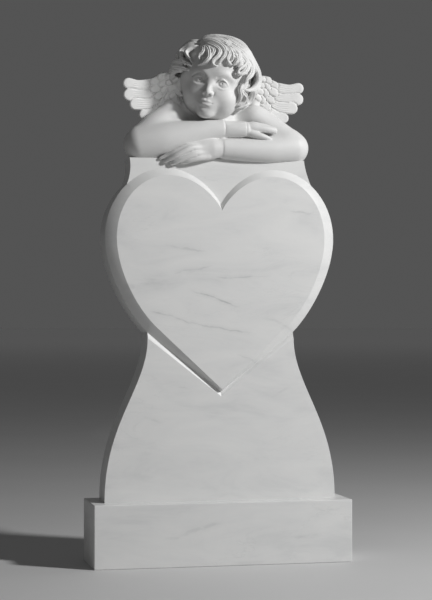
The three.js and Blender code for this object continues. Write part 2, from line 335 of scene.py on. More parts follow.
def slab(back, front, y_back, y_front):
    """A prism of stone between two outlines: a face is drawn, pulled forward and given its new rim."""
    form = bmesh.new()
    order = form.verts.layers.int.new("order")
    rim = [form.verts.new((x * MM, y_back * MM, z * MM)) for x, z in back]
    for number, vert in enumerate(rim):
        vert[order] = number
    form.faces.new(rim)
    pulled = bmesh.ops.extrude_face_region(form, geom=form.faces[:] + form.edges[:] + form.verts[:])
    for vert in pulled["geom"]:
        if isinstance(vert, bmesh.types.BMVert):
            x, z = front[vert[order]]
            vert.co = (x * MM, y_front * MM, z * MM)
    bmesh.ops.recalc_face_normals(form, faces=form.faces[:])
    return form


def object_from(form, name):
    mesh = bpy.data.meshes.new(name)
    form.to_mesh(mesh)
    form.free()
    made = bpy.data.objects.new(name, mesh)
    bpy.context.scene.collection.objects.link(made)
    return made


def applied(made):
    """The object with its modifiers worked into its mesh."""
    bpy.context.view_layer.update()
    seen = made.evaluated_get(bpy.context.evaluated_depsgraph_get())
    mesh = bpy.data.meshes.new_from_object(seen)
    made.modifiers.clear()
    old = made.data
    made.data = mesh
    bpy.data.meshes.remove(old)
    return made


def joined(parts, name):
    """One closed stone from overlapping ones."""
    whole = object_from(parts[0], name)
    for form in parts[1:]:
        tool = object_from(form, name + "_tool")
        union = whole.modifiers.new("union", "BOOLEAN")
        union.operation = "UNION"
        union.solver = "EXACT"
        union.object = tool
        applied(whole)
        bpy.data.objects.remove(tool)
    return whole


def eased(made, width, segments):
    """Small arrises on the outward edges."""
    form = bmesh.new()
    form.from_mesh(made.data)
    bmesh.ops.remove_doubles(form, verts=form.verts[:], dist=WELD)
    bmesh.ops.dissolve_limit(form, angle_limit=FLAT_ANGLE, verts=form.verts[:], edges=form.edges[:])
    edges = [e for e in form.edges if e.is_convex and e.is_manifold and e.calc_face_angle(0) > ARRIS_ANGLE]
    bmesh.ops.bevel(
        form, geom=edges, offset=width * MM, offset_type="OFFSET", segments=segments,
        profile=0.5, affect="EDGES", material=-1, clamp_overlap=True, loop_slide=True,
    )
    form.to_mesh(made.data)
    form.free()
    return made


def rounded(made):
    """Smooth shading over the curved sides and bevels, flat on the fronts and backs."""
    made.data.set_sharp_from_angle(angle=SHARP_ANGLE)
    faces = made.data.polygons
    faces.foreach_set("use_smooth", [abs(face.normal.y) < FLAT_FRONT for face in faces])
    return made


def dressed(made, material, node):
    made.data.materials.clear()
    made.data.materials.append(material)
    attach(made, "root")
    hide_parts(node)
    return made


def make_plinth():
    form = bmesh.new()
    bmesh.ops.create_cube(form, size=1.0)
    width, depth, height = (side * MM for side in PLINTH_SIZE)
    bmesh.ops.scale(form, vec=(width, depth, height), verts=form.verts[:])
    bmesh.ops.translate(form, vec=(0, 0, height / 2), verts=form.verts[:])
    made = object_from(form, "marble_plinth")
    return eased(made, PLINTH_ARRIS, 3)


def make_headstone():
    heart = heart_outline(HEART_NOTCH, HEART_CURVES)
    face = heart_outline(FACE_NOTCH, FACE_CURVES)
    lower = lower_outline(HEART_CORNER[1], HEART_POINT[1])
    panel = lower_outline(PANEL_CORNER_Z, PANEL_POINT_Z)
    inside = lower_outline(HEART_CORNER[1], HEART_POINT[1] + POINT_LAP)
    upper = upper_outline()
    whole = joined(
        [
            slab(heart, heart, STONE_BACK, BED_PLANE),
            slab(upper, upper, STONE_BACK, BED_PLANE),
            slab(inside, inside, STONE_BACK, BED_PLANE),
            slab(lower, panel, BED_PLANE, PANEL_PLANE),
            slab(heart, face, BED_PLANE, HEART_PLANE),
        ],
        "marble_headstone",
    )
    return rounded(eased(whole, STONE_ARRIS, 2))


# Clay: a block of voxels that holds each point's distance from the surface, less than 0 inside

VOXEL = 1.25
BLOCK = ((-226, -86, 905), (220, 92, 1226))
FAR = 24.0
FINE_CARE = 4.0
MOST_TRIANGLES = 196000
UNFOLD_PASSES = 5
FOLDED = 0.1
# Metres that the mesh stays inside the part's box
INSET = 0.0002
# What the slab takes out of the cherub, with a gap at its front
SEAT = ((-300, BED_PLANE - 0.3, 880), (300, 200, STONE_TOP))


class Frame:
    """A place, turn and size for forms that are worked in a frame of their own."""

    def __init__(self, centre=(0, 0, 0), turn=None, size=1.0):
        self.centre = np.array(centre, float)
        self.turn = np.eye(3) if turn is None else turn
        self.size = size

    def out(self, points):
        return self.centre + self.size * np.asarray(points, float) @ self.turn.T

    def back(self, x, y, z):
        x, y, z = x - self.centre[0], y - self.centre[1], z - self.centre[2]
        t = (self.turn / self.size).astype(np.float32)
        return tuple(t[0, k] * x + t[1, k] * y + t[2, k] * z for k in range(3))


def turned(x, y, z):
    """A turn by angles in degrees about X, then Y, then Z."""
    return np.array(Euler([math.radians(a) for a in (x, y, z)], "XYZ").to_matrix())


WORLD = Frame()


def lesser(first, second, blend):
    """The lesser of two distances, rounded where they are closer than the blend."""
    overlap = np.maximum(blend - np.abs(first - second), 0) / blend
    return np.minimum(first, second) - overlap * overlap * blend * 0.25


class Form:
    """A shape: the corners of its box in its own frame, and its distance."""

    def __init__(self, low, high, distance):
        self.low = np.array(low, float)
        self.high = np.array(high, float)
        self.distance = distance


class Clay:
    """The block. Forms are placed in the frame where, and worked out at least as far as care round them."""

    def __init__(self, low, high, step):
        self.low = np.array(low, float)
        self.step = step
        count = np.ceil((np.array(high) - self.low) / step).astype(int) + 1
        self.field = np.full(count, FAR, np.float32)
        self.where = WORLD
        self.care = FINE_CARE

    def fresh(self):
        other = Clay(self.low, self.low, self.step)
        other.field = np.full(self.field.shape, FAR, np.float32)
        other.where = self.where
        return other

    def window(self, form, margin):
        corners = self.where.out(list(itertools.product(*zip(form.low, form.high))))
        first = np.floor((corners.min(0) - margin - self.low) / self.step).astype(int)
        last = np.ceil((corners.max(0) + margin - self.low) / self.step).astype(int) + 1
        first = np.clip(first, 0, self.field.shape)
        last = np.clip(last, first, self.field.shape)
        return first, last

    def places(self, first, last):
        lines = [
            (self.low[k] + self.step * np.arange(first[k], last[k])).astype(np.float32) for k in range(3)
        ]
        return self.where.back(*np.meshgrid(*lines, indexing="ij", sparse=True))

    def gathered(self, forms, margin):
        """The nearest of several forms, each worked out only round itself."""
        windows = [self.window(form, margin) for form in forms]
        start = np.min([first for first, _ in windows], axis=0)
        end = np.max([last for _, last in windows], axis=0)
        near = np.full(np.maximum(end - start, 0), FAR, np.float32)
        for form, (first, last) in zip(forms, windows):
            if (last <= first).any():
                continue
            cell = tuple(slice(a, b) for a, b in zip(first - start, last - start))
            away = self.where.size * form.distance(*self.places(first, last))
            near[cell] = np.minimum(near[cell], away)
        return tuple(slice(a, b) for a, b in zip(start, end)), near

    def add(self, forms, blend=1.0):
        forms = forms if isinstance(forms, list) else [forms]
        cell, near = self.gathered(forms, max(blend, self.care) + 3 * self.step)
        self.field[cell] = lesser(self.field[cell], near, blend)

    def cut(self, forms, blend=1.0):
        forms = forms if isinstance(forms, list) else [forms]
        cell, near = self.gathered(forms, blend + 3 * self.step)
        self.field[cell] = -lesser(-self.field[cell], near, blend)

    def soften(self, wear):
        """Wear the finest marks away."""
        for axis in range(3):
            rows = np.moveaxis(self.field, axis, 0)
            rows[1:-1] = (1 - 2 * wear) * rows[1:-1] + wear * (rows[:-2] + rows[2:])

    def merge(self, other, blend):
        self.field = lesser(self.field, other.field, blend)


def egg(centre, radii, turn=None):
    """A ball with three radii, turned by degrees."""
    centre = np.array(centre, float)
    own = Frame(centre, None if turn is None else turned(*turn))
    reach = max(radii) if turn is not None else np.array(radii)
    a, b, c = radii

    def distance(x, y, z):
        x, y, z = own.back(x, y, z)
        x, y, z = x / a, y / b, z / c
        far = np.sqrt(x * x + y * y + z * z)
        steep = np.sqrt((x / a) ** 2 + (y / b) ** 2 + (z / c) ** 2)
        return (far * (far - 1) / np.maximum(steep, 1e-4)).astype(np.float32)

    return Form(centre - reach, centre + reach, distance)


def spline(points, steps):
    """Points along a smooth curve through the given rows of numbers."""
    rows = np.array(points, float)
    rows = np.vstack([2 * rows[0] - rows[1], rows, 2 * rows[-1] - rows[-2]])
    ways = np.linspace(0, len(points) - 1, steps * (len(points) - 1) + 1)
    out = []
    for way in ways:
        k = min(int(way), len(points) - 2)
        t = way - k
        p0, p1, p2, p3 = rows[k:k + 4]
        out.append(
            0.5 * (2 * p1 + (p2 - p0) * t + (2 * p0 - 5 * p1 + 4 * p2 - p3) * t * t
                   + (3 * p1 - p0 - 3 * p2 + p3) * t ** 3)
        )
    return np.array(out)


def cone(start, end):
    """A round bar between two balls of x, y, z and radius."""
    a, b = start[:3], end[:3]
    along = b - a
    square = max(float(along @ along), 1e-9)
    radius, swell = start[3], end[3] - start[3]

    def distance(x, y, z):
        px, py, pz = x - a[0], y - a[1], z - a[2]
        t = np.clip((px * along[0] + py * along[1] + pz * along[2]) / square, 0, 1)
        px, py, pz = px - t * along[0], py - t * along[1], pz - t * along[2]
        return (np.sqrt(px * px + py * py + pz * pz) - radius - t * swell).astype(np.float32)

    reach = max(start[3], end[3])
    return Form(np.minimum(a, b) - reach, np.maximum(a, b) + reach, distance)


def ring(centre, radius, thickness):
    """A hoop that faces forward."""
    centre = np.array(centre, float)

    def distance(x, y, z):
        x, y, z = x - centre[0], y - centre[1], z - centre[2]
        flat = np.sqrt(x * x + z * z) - radius
        return (np.sqrt(flat * flat + y * y) - thickness).astype(np.float32)

    reach = radius + thickness
    return Form(centre - reach, centre + reach, distance)


def box_form(low, high):
    low, high = np.array(low, float), np.array(high, float)
    middle, half = (low + high) / 2, (high - low) / 2

    def distance(x, y, z):
        x, y, z = (np.abs(p - m) - h for p, m, h in zip((x, y, z), middle, half))
        inside = np.minimum(np.maximum(np.maximum(x, y), z), 0)
        outside = np.sqrt(np.maximum(x, 0) ** 2 + np.maximum(y, 0) ** 2 + np.maximum(z, 0) ** 2)
        return (inside + outside).astype(np.float32)

    return Form(low, high, distance)


def limb(balls, steps=10):
    """A round limb, finger or roll through balls."""
    rows = spline(balls, steps)
    return [cone(rows[i], rows[i + 1]) for i in range(len(rows) - 1)]


def ribbon(start, end, strands, depth, phase):
    """One stretch of a lock: a flat rounded bar with strands along it.

    Each end is a centre, a sideways and an outward direction, a half width and a half thickness.
    """
    a, side_a, out_a, wide_a, thick_a = start
    b, side_b, out_b, wide_b, thick_b = end
    along = b - a
    length = max(float(np.sqrt(along @ along)), 1e-6)
    ahead = along / length
    reach = max(wide_a, wide_b, thick_a, thick_b)

    def distance(x, y, z):
        px, py, pz = x - a[0], y - a[1], z - a[2]
        run = px * ahead[0] + py * ahead[1] + pz * ahead[2]
        t = np.clip(run / length, 0, 1)
        past = run - t * length
        px, py, pz = px - run * ahead[0], py - run * ahead[1], pz - run * ahead[2]
        side = [side_a[k] + t * (side_b[k] - side_a[k]) for k in range(3)]
        out = [out_a[k] + t * (out_b[k] - out_a[k]) for k in range(3)]
        across = px * side[0] + py * side[1] + pz * side[2]
        above = px * out[0] + py * out[1] + pz * out[2]
        wide = wide_a + t * (wide_b - wide_a)
        thick = thick_a + t * (thick_b - thick_a)
        u, v, w = across / wide, above / thick, past / thick
        far = np.sqrt(u * u + v * v + w * w)
        steep = np.sqrt((u / wide) ** 2 + (v / thick) ** 2 + (w / thick) ** 2)
        away = far * (far - 1) / np.maximum(steep, 1e-3)
        valley = np.cos(0.5 * np.pi * strands * u + phase) ** 2
        return (away + depth * valley * np.clip(v + 0.6, 0, 1)).astype(np.float32)

    return Form(np.minimum(a, b) - reach, np.maximum(a, b) + reach, distance)


# The head in its own frame, origin at its middle and face towards -Y; the face leans further than the hair

HEAD = Frame((-9, -2, 1109), turned(-4, 7.5, -16), 1.06)
FACE = Frame((-7, -3, 1104.5), turned(-4, 13, -21), 1.0)
HAIR = np.array([88.0, 72.0, 86.0])
HAIR_CENTRE = np.array([2.0, 8.0, 16.0])
# Where the hair dips: angle round, angle up, depth and spread
DENTS = [(86, 31, 12.0, 0.04), (-20, 82, 7.0, 0.06)]
PATH_STEPS = 5
# A lock's share of its width at the root, and the least half width at its tip
LOCK_ROOT = 0.55
LOCK_TIP = 0.9
SIDES = (-1, 1)


# Lines of the face and ears on the right side: the middle and radius of the balls that each runs through
BROW = [(9, -60.0, 8, 2.4), (20, -62.0, 13.5, 2.8), (33, -58.0, 14.5, 2.8), (46, -48.5, 8.5, 2.2)]
UPPER_LID = [
    (12.0, -58.0, -11.5, 1.3), (17.5, -61.0, -3.2, 2.0), (26.5, -61.5, 1.4, 2.3),
    (36.0, -57.0, -2.4, 2.0), (42.0, -50.0, -11.0, 1.5),
]
LOWER_LID = [
    (12.0, -58.0, -12.0, 1.2), (19.0, -59.8, -17.6, 1.6), (27.5, -59.4, -19.8, 1.8),
    (36.0, -55.5, -17.6, 1.6), (42.0, -50.0, -11.8, 1.3),
]
LID_FOLD = [(14, -66.0, 3.4, 1.2), (26.0, -67.0, 7.2, 1.6), (38, -61.0, 3.6, 1.4), (45, -53.5, -4.0, 1.0)]
NOSE_FOLD = [(14.6, -62, -30, 0.8), (15.2, -60.5, -36, 1.0), (13, -61, -41, 0.8)]
UPPER_LIP = [
    (16.0, -54.6, -56.4, 1.0), (10.0, -60.2, -54.4, 2.2), (4.0, -62.6, -52.9, 2.7), (0, -62.7, -53.9, 2.5),
]
LOWER_LIP = [(13.0, -55.8, -58.6, 1.2), (7.0, -60.0, -60.8, 2.8), (0, -61.0, -61.6, 3.3)]
LIP_LINE = [
    (17.0, -57.8, -56.2, 0.6), (11, -62.6, -57.6, 0.8), (4, -65.8, -56.8, 0.8), (0, -66.2, -57.5, 0.8),
]
EAR_RIM = [
    (76, -3, -20, 2.2), (78, -7, -8, 2.4), (79, 0, 4, 2.6), (79, 10, 4, 2.8),
    (78, 16, -6, 2.6), (76, 12, -22, 2.8), (74, 2, -31, 3.4),
]
EAR_FOLD = [(77, 0, -18, 2.0), (78, 7, -10, 1.8), (78, 6, 0, 1.6)]


def on(side, line):
    return [(side * x, y, z, size) for x, y, z, size in line]


def whole_line(half):
    """A line right across the face, whose right half runs in to the middle."""
    return on(-1, half) + half[-2::-1]


def face_masses(clay):
    clay.add(egg((0, -16, 36), (57, 50, 48)), 16)
    clay.add(egg((0, -6, -30), (61, 55, 58)), 18)
    for side in SIDES:
        clay.add(egg((side * 32, -35, -37), (27, 20, 23)), 14)
        clay.add(egg((side * 33, -16, -51), (22, 24, 20)), 14)
    clay.add(egg((0, -42, -76), (19, 15, 14)), 14)
    clay.add(egg((0, -48, -56), (23, 14, 16)), 12)
    clay.care = FINE_CARE


def eyes(clay):
    for side in SIDES:
        clay.cut(egg((side * 27, -70, -8), (18, 12.5, 11), (0, side * 5, 0)), 7)
    for side in SIDES:
        clay.add(limb(on(side, BROW)), 12)
        clay.add(egg((side * 26.5, -47.0, -8), (15.5, 13.4, 13.6)), 0.8)
        clay.add(limb(on(side, UPPER_LID)), 0.8)
        clay.add(limb(on(side, LOWER_LID)), 2.2)
        clay.cut(limb(on(side, LID_FOLD)), 2.5)
        clay.cut(egg((side * 26.5, -61.8, -7.5), (2.6, 3.8, 2.8)), 0.8)
        clay.cut(ring((side * 26.5, -60.2, -7.5), 6.2, 0.8), 0.6)


def nose(clay):
    clay.add(limb([(0, -58.5, 2, 4.4), (0, -62.5, -14, 5.0), (0, -68.5, -29, 6.4), (0, -69, -33, 6.8)]), 7)
    for side in SIDES:
        clay.add(egg((side * 8.4, -63.0, -35.5), (5.0, 6.8, 4.8), (0, side * 14, 0)), 3.0)
        clay.cut(limb(on(side, NOSE_FOLD)), 2.5)
    clay.add(limb([(0, -71, -36.5, 2.6), (0, -64, -41.0, 2.8)]), 2.0)
    for side in SIDES:
        clay.cut(egg((side * 5.0, -67.5, -39.2), (2.3, 3.6, 2.4), (20, side * 12, 0)), 0.9)


def mouth(clay):
    clay.cut(limb([(0, -65.5, -43.0, 1.6), (0, -65.6, -49.5, 2.2)]), 3.5)
    clay.add(limb(whole_line(UPPER_LIP)), 2.8)
    clay.add(limb(whole_line(LOWER_LIP)), 3.2)
    clay.cut(limb(whole_line(LIP_LINE)), 1.3)
    clay.cut(egg((0, -62.8, -69.5), (10, 3.2, 2.6)), 6.0)


def ears(clay):
    for side in SIDES:
        clay.add(egg((side * 73, 6, -14), (6.5, 14, 20), (8, side * 8, side * 10)), 3.0)
        clay.cut(egg((side * 79, 3, -12), (5.5, 8.5, 12), (8, side * 8, side * 10)), 2.5)
        clay.add(limb(on(side, EAR_RIM)), 1.6)
        clay.add(limb(on(side, EAR_FOLD)), 2.0)


def heading(around, up):
    a, e = math.radians(around), math.radians(up)
    return np.array([math.sin(a) * math.cos(e), -math.cos(a) * math.cos(e), math.sin(e)])


def headed(points):
    """Rows of x, y, z and lift from rows of angle round, angle up and lift."""
    return np.array([[*heading(around, up), lift] for around, up, lift in points])


def over_hair(around, up, lift):
    way = heading(around, up)
    return HAIR_CENTRE + (HAIR + lift) * way


def over_head(points):
    """Ways out from the hair's middle, and places, along a smooth path over the head.

    Points are angle round, angle up, and lift off the hair's egg.
    """
    rows = spline(headed(points), PATH_STEPS)
    ways = rows[:, :3] / np.linalg.norm(rows[:, :3], axis=1)[:, None]
    lifts = rows[:, 3]
    for around, up, depth, spread in DENTS:
        lifts = lifts - depth * np.exp((ways @ heading(around, up) - 1) / spread)
    return ways, HAIR_CENTRE + (HAIR + lifts[:, None]) * ways


def furrow(clay, points, radius, lift):
    """A narrow groove along a path over the head, finer at its ends."""
    _, places = over_head([(around, up, height + lift) for around, up, height in points])
    sizes = radius * np.sin(np.linspace(0.35, 2.9, len(places)))
    balls = np.column_stack([places, sizes])
    clay.cut([cone(a, b) for a, b in zip(balls, balls[1:])], 1.0)


def lock(clay, points, width, thick, depth, strands=3, phase=0.0):
    """A lock of hair along a path over the head, with grooves of a depth between its strands."""
    ways, places = over_head(points)
    outward = ways / HAIR
    outward /= np.linalg.norm(outward, axis=1)[:, None]
    ahead = np.gradient(places, axis=0)
    ahead /= np.linalg.norm(ahead, axis=1)[:, None]
    sideways = np.cross(ahead, outward)
    sideways /= np.linalg.norm(sideways, axis=1)[:, None]
    outward = np.cross(sideways, ahead)
    ends = []
    for i, place in enumerate(places):
        s = i / (len(places) - 1)
        swell = min(1.0, LOCK_ROOT + 2.2 * s) * (1 - s ** 3) ** 0.75
        wide = max(width * swell, LOCK_TIP)
        deep = max(thick * min(1.0, 0.35 + swell), LOCK_TIP)
        ends.append((place, sideways[i], outward[i], wide, deep))
    forms = [ribbon(a, b, strands, depth, phase) for a, b in zip(ends, ends[1:])]
    clay.add(forms, 0.7)


def comb(clay, guides, count, width, seed, jitter=2.0, wave=0.0, furrows=0.0, **more):
    """Locks side by side, each led by its place between the guides, with furrows cut between them."""
    chance = np.random.default_rng(seed)
    laid = []
    for i in range(count):
        way = i / max(count - 1, 1) * (len(guides) - 1)
        k = min(int(way), len(guides) - 2)
        t = way - k
        beat = 0.55 * i + chance.uniform(-0.4, 0.4)
        points = []
        for n, (x, y, z, lift) in enumerate((1 - t) * headed(guides[k]) + t * headed(guides[k + 1])):
            far = math.sqrt(x * x + y * y + z * z)
            around = math.degrees(math.atan2(x, -y))
            up = math.degrees(math.asin(z / far))
            loose = jitter * min(n, 2) / 2
            spread = max(math.cos(math.radians(up)), 0.25)
            sway = wave * math.sin(beat + 2.2 * n) * min(n, 3) / 3 / spread
            points.append((
                around + chance.normal() * loose * 0.6 + sway,
                up + chance.normal() * loose * 0.5,
                lift + chance.normal() * loose * 0.4,
            ))
        size = width * chance.uniform(0.85, 1.15)
        lock(clay, points, size, phase=chance.uniform(0, 6.28), **more)
        laid.append(points)
    for one, other in zip(laid, laid[1:]):
        if furrows:
            furrow(clay, (np.array(one) + np.array(other)) / 2, furrows, 3.0)


# Paths that lead the combed locks, from the crown down: angle round, angle up and lift at each point
BACK_GUIDES = [
    [(-66, 60, -8), (-84, 52, -4), (-94, 38, -1), (-96, 20, 1),
     (-100, 2, 2), (-102, -16, 3), (-104, -34, 3)],
    [(-70, 68, -6), (-110, 60, -2), (-124, 40, 0), (-128, 20, 1),
     (-130, 0, 1), (-132, -20, 2), (-134, -40, 3)],
    [(-110, 76, -5), (-160, 60, -2), (-164, 40, 0), (-166, 20, 0),
     (-168, 0, 1), (-168, -20, 2), (-168, -42, 2)],
    [(170, 80, -5), (160, 62, -2), (158, 40, 0), (158, 20, 0), (158, 0, 1), (158, -20, 2), (158, -42, 2)],
    [(100, 82, -5), (126, 62, -2), (128, 40, 1), (128, 20, 1), (128, 0, 1), (128, -20, 2), (128, -38, 3)],
    [(60, 84, -4), (98, 62, -1), (102, 42, 2), (104, 24, 2), (106, 6, 2), (108, -14, 3), (106, -34, 3)],
]
NAPE_GUIDES = [
    [(-84, 34, -2), (-92, 18, 3), (-98, 2, 5), (-100, -14, 6), (-96, -30, 4)],
    [(-120, 40, -2), (-126, 22, 2), (-130, 4, 4), (-132, -14, 5), (-134, -32, 4)],
    [(-160, 40, -2), (-164, 22, 1), (-168, 4, 3), (-170, -16, 4), (-172, -36, 3)],
    [(162, 44, -2), (158, 24, 1), (156, 4, 3), (154, -16, 4), (152, -36, 3)],
    [(124, 44, -2), (126, 26, 2), (126, 8, 4), (124, -12, 5), (122, -32, 4)],
    [(100, 36, -2), (104, 20, 3), (106, 4, 5), (104, -14, 6), (98, -32, 4)],
]
CROWN_GUIDES = [
    [(-60, 66, 0), (10, 84, 0), (80, 74, 1), (90, 56, 2), (94, 38, 3), (96, 20, 4), (98, 4, 4)],
    [(-54, 62, 1), (-20, 72, 2), (40, 74, 2), (70, 58, 3), (80, 40, 5), (86, 22, 6), (92, 4, 5)],
    [(-46, 57, 1), (-20, 63, 3), (12, 64, 3), (42, 55, 4), (62, 38, 6), (74, 22, 7), (86, 6, 6)],
    [(-40, 52, 1), (-15, 57, 4), (10, 57, 4), (32, 46, 5), (48, 32, 7), (60, 18, 8), (70, 6, 7)],
    [(-37, 47, 1), (-15, 52, 4), (6, 48, 5), (20, 38, 7), (34, 28, 8), (44, 18, 8), (50, 8, 7)],
]
BROW_GUIDES = [
    [(-36, 47, 1), (-14, 50, 4), (8, 45, 6), (22, 35, 7), (32, 25, 8), (34, 16, 7), (30, 9, 5)],
    [(-34, 43, 1), (-15, 46, 4), (4, 40, 6), (16, 31, 8), (22, 22, 8), (22, 14, 7), (17, 9, 5)],
]
LEFT_GUIDES = [
    [(-66, 60, -9), (-80, 54, -6), (-88, 42, -3), (-94, 28, 0), (-95, 14, 2), (-91, 4, 2)],
    [(-54, 55, -7), (-68, 50, -4), (-80, 42, -1), (-87, 30, 1), (-89, 18, 3), (-85, 8, 3)],
]
# Locks laid one by one: half width, strands, then angle round, angle up and lift at each point
FRINGE = [
    (7.5, 3, [(-31, 41, 0), (-15, 43, 5), (2, 37, 7), (11, 28, 8), (12, 19, 8), (7, 11, 7), (5, 6, 4)]),
    (6.5, 3, [
        (-28, 37, 0), (-16, 36, 5), (-4, 31, 8), (4, 24, 9), (3, 17, 9), (-2, 10, 8), (-2, 5, 7), (4, 3, 4),
    ]),
    (5.5, 2, [(-26, 34, 0), (-14, 32, 5), (-4, 25, 7), (-5, 17, 7), (-10, 12, 5)]),
    (7.0, 3, [(-24, 34, 0), (-14, 28, 6), (-9, 19, 8), (-9, 11, 9), (-16, 5, 7), (-25, 2, 4)]),
    (5.0, 2, [(-28, 33, 0), (-20, 27, 5), (-19, 20, 7), (-23, 14, 7), (-21, 9, 4)]),
    (6.0, 3, [(4, 36, 3), (14, 30, 7), (18, 22, 8), (16, 14, 8), (19, 9, 7), (25, 8, 4)]),
    (6.0, 3, [(16, 40, 3), (26, 31, 7), (32, 23, 9), (31, 16, 9), (27, 10, 8), (24, 6, 5)]),
    (6.0, 3, [(26, 40, 3), (38, 30, 7), (45, 21, 9), (42, 12, 9), (35, 5, 8), (32, 0, 7), (36, -5, 5)]),
    (5.0, 2, [(34, 30, 2), (39, 20, 6), (36, 12, 7), (30, 7, 5)]),
]
RIGHT_LOCKS = [
    (9.0, 4, [(6, 38, 4), (18, 29, 7), (27, 22, 8), (33, 17, 8), (34, 11, 8), (30, 6, 6)]),
    (9.0, 4, [(22, 33, 4), (32, 26, 7), (41, 19, 9), (46, 11, 9), (43, 3, 9), (36, -2, 8), (29, -1, 6)]),
    (10.0, 4, [(24, 38, 4), (36, 31, 7), (48, 23, 8), (56, 13, 9), (55, 3, 9), (49, -6, 8), (46, -15, 6)]),
    (10.0, 4, [
        (44, 42, 3), (56, 31, 7), (66, 20, 8), (76, 9, 9),
        (80, -3, 9), (74, -13, 8), (62, -19, 8), (50, -21, 6),
    ]),
    (9.0, 4, [
        (70, 38, 3), (82, 24, 6), (91, 10, 7), (92, -3, 8), (87, -13, 8), (90, -23, 7), (94, -31, 5),
    ]),
    (6.5, 3, [(80, -10, 3), (76, -17, 7), (82, -25, 8), (84, -33, 8), (76, -40, 7), (72, -46, 5)]),
    (5.5, 2, [(44, -22, 4), (54, -26, 7), (62, -29, 7), (65, -36, 7), (60, -43, 6), (58, -50, 4)]),
    (5.0, 2, [(46, -14, 2), (44, -22, 5), (50, -29, 6), (53, -37, 6), (50, -44, 4)]),
    (5.0, 2, [(70, -30, 3), (76, -37, 6), (72, -45, 6), (66, -52, 4)]),
    (6.0, 3, [(92, -14, 3), (98, -24, 6), (96, -34, 6), (88, -42, 6), (86, -51, 4)]),
]
LEFT_LOCKS = [
    (6.5, 3, [
        (-52, 50, -2), (-62, 44, 3), (-74, 40, 5), (-79, 32, 6), (-80, 24, 6), (-72, 15, 6), (-58, 8, 4),
    ]),
    (6.5, 3, [
        (-44, 42, -1), (-54, 36, 5), (-62, 30, 7), (-65, 23, 8), (-58, 15, 8), (-48, 8, 8), (-44, 1, 6),
    ]),
    (5.0, 2, [(-38, 34, 0), (-46, 28, 5), (-49, 21, 7), (-44, 15, 7), (-37, 10, 5), (-33, 5, 3)]),
    (6.0, 3, [(-64, 50, -4), (-78, 40, 0), (-85, 30, 2), (-87, 20, 3), (-80, 12, 4), (-66, 7, 4)]),
    (7.0, 3, [(-38, 3, 1), (-50, 7, 6), (-64, 8, 8), (-76, 6, 8), (-84, 1, 7), (-86, -5, 4)]),
    (7.0, 3, [(-42, -4, 1), (-54, -1, 6), (-68, 0, 9), (-80, -1, 10), (-88, -5, 9), (-88, -11, 6)]),
    (6.0, 3, [(-56, -6, 3), (-66, -5, 8), (-76, -8, 9), (-78, -14, 9), (-70, -17, 8), (-62, -14, 5)]),
    (6.0, 3, [(-84, -8, 3), (-90, -16, 6), (-92, -25, 7), (-90, -33, 6), (-84, -39, 4)]),
    (5.5, 2, [(-76, -14, 2), (-84, -21, 5), (-85, -29, 6), (-80, -36, 5), (-74, -41, 3)]),
]
# Dark hollows between the locks: angle round, angle up, and the radii of what is scooped out
HOLLOWS = [
    (54, -10, (9, 12, 12)), (72, -27, (7, 12, 8)), (31, 1, (5, 8, 5)), (25, 8, (4, 7, 4)),
    (-3, 20, (7, 8, 6)), (7, 23, (5, 8, 5)), (-72, 22, (5, 8, 9)), (-52, 22, (5, 8, 7)),
]
PARTING = [(-90, 74, 2), (-64, 63, 2), (-51, 51, 1), (-43, 39, 0), (-37, 29, -1), (-33, 20, -2)]


def parting_lines():
    balls = [np.array([*over_hair(around, up, lift), 4.5]) for around, up, lift in PARTING]
    return list(zip(balls, balls[1:]))


def hair(clay):
    clay.add(egg((3, 12, 17), (76, 64, 77)), 1.0)
    clay.add(egg((2, 34, -20), (76, 40, 52)), 10.0)
    comb(clay, BACK_GUIDES, 26, 10.0, 3, wave=4.0, thick=6, depth=1.8)
    comb(clay, NAPE_GUIDES, 15, 8.0, 8, wave=6.0, jitter=4.0, thick=6, depth=2.0)
    comb(clay, CROWN_GUIDES, 9, 6.8, 4, jitter=0.8, wave=2.5, furrows=2.2, thick=7, depth=2.8, strands=2)
    comb(clay, BROW_GUIDES, 3, 6.5, 5, jitter=0.5, furrows=2.0, thick=7, depth=2.6, strands=2)
    comb(clay, LEFT_GUIDES, 3, 8.0, 6, jitter=0.8, thick=6, depth=2.2)
    for around, up, radii in HOLLOWS:
        clay.cut(egg(over_hair(around, up, 4), radii, (0, 0, around)), 2.5)
    clay.cut([cone(a, b) for a, b in parting_lines()], 3.0)
    for half, strands, points in RIGHT_LOCKS + LEFT_LOCKS + FRINGE:
        lock(clay, points, half, 6.5, 3.0, strands=strands)


def body(clay):
    clay.care = 14.0
    clay.add(egg((-6, 26, 975), (120, 36, 82)), 1)
    clay.add(limb([(-2, 24, 1010, 42), (-4, 14, 1050, 39)]), 12)
    clay.add(limb([(-84, 30, 1028, 22), (-48, 30, 1056, 30)]), 12)
    clay.add(egg((-110, 16, 1021), (36, 30, 33)), 12)
    clay.add(egg((-97, 8, 1010), (27, 28, 30)), 12)
    clay.add(egg((-109, 13, 1042), (19, 23, 23)), 12)
    clay.add(egg((92, 18, 1026), (42, 31, 32)), 16)
    clay.care = FINE_CARE


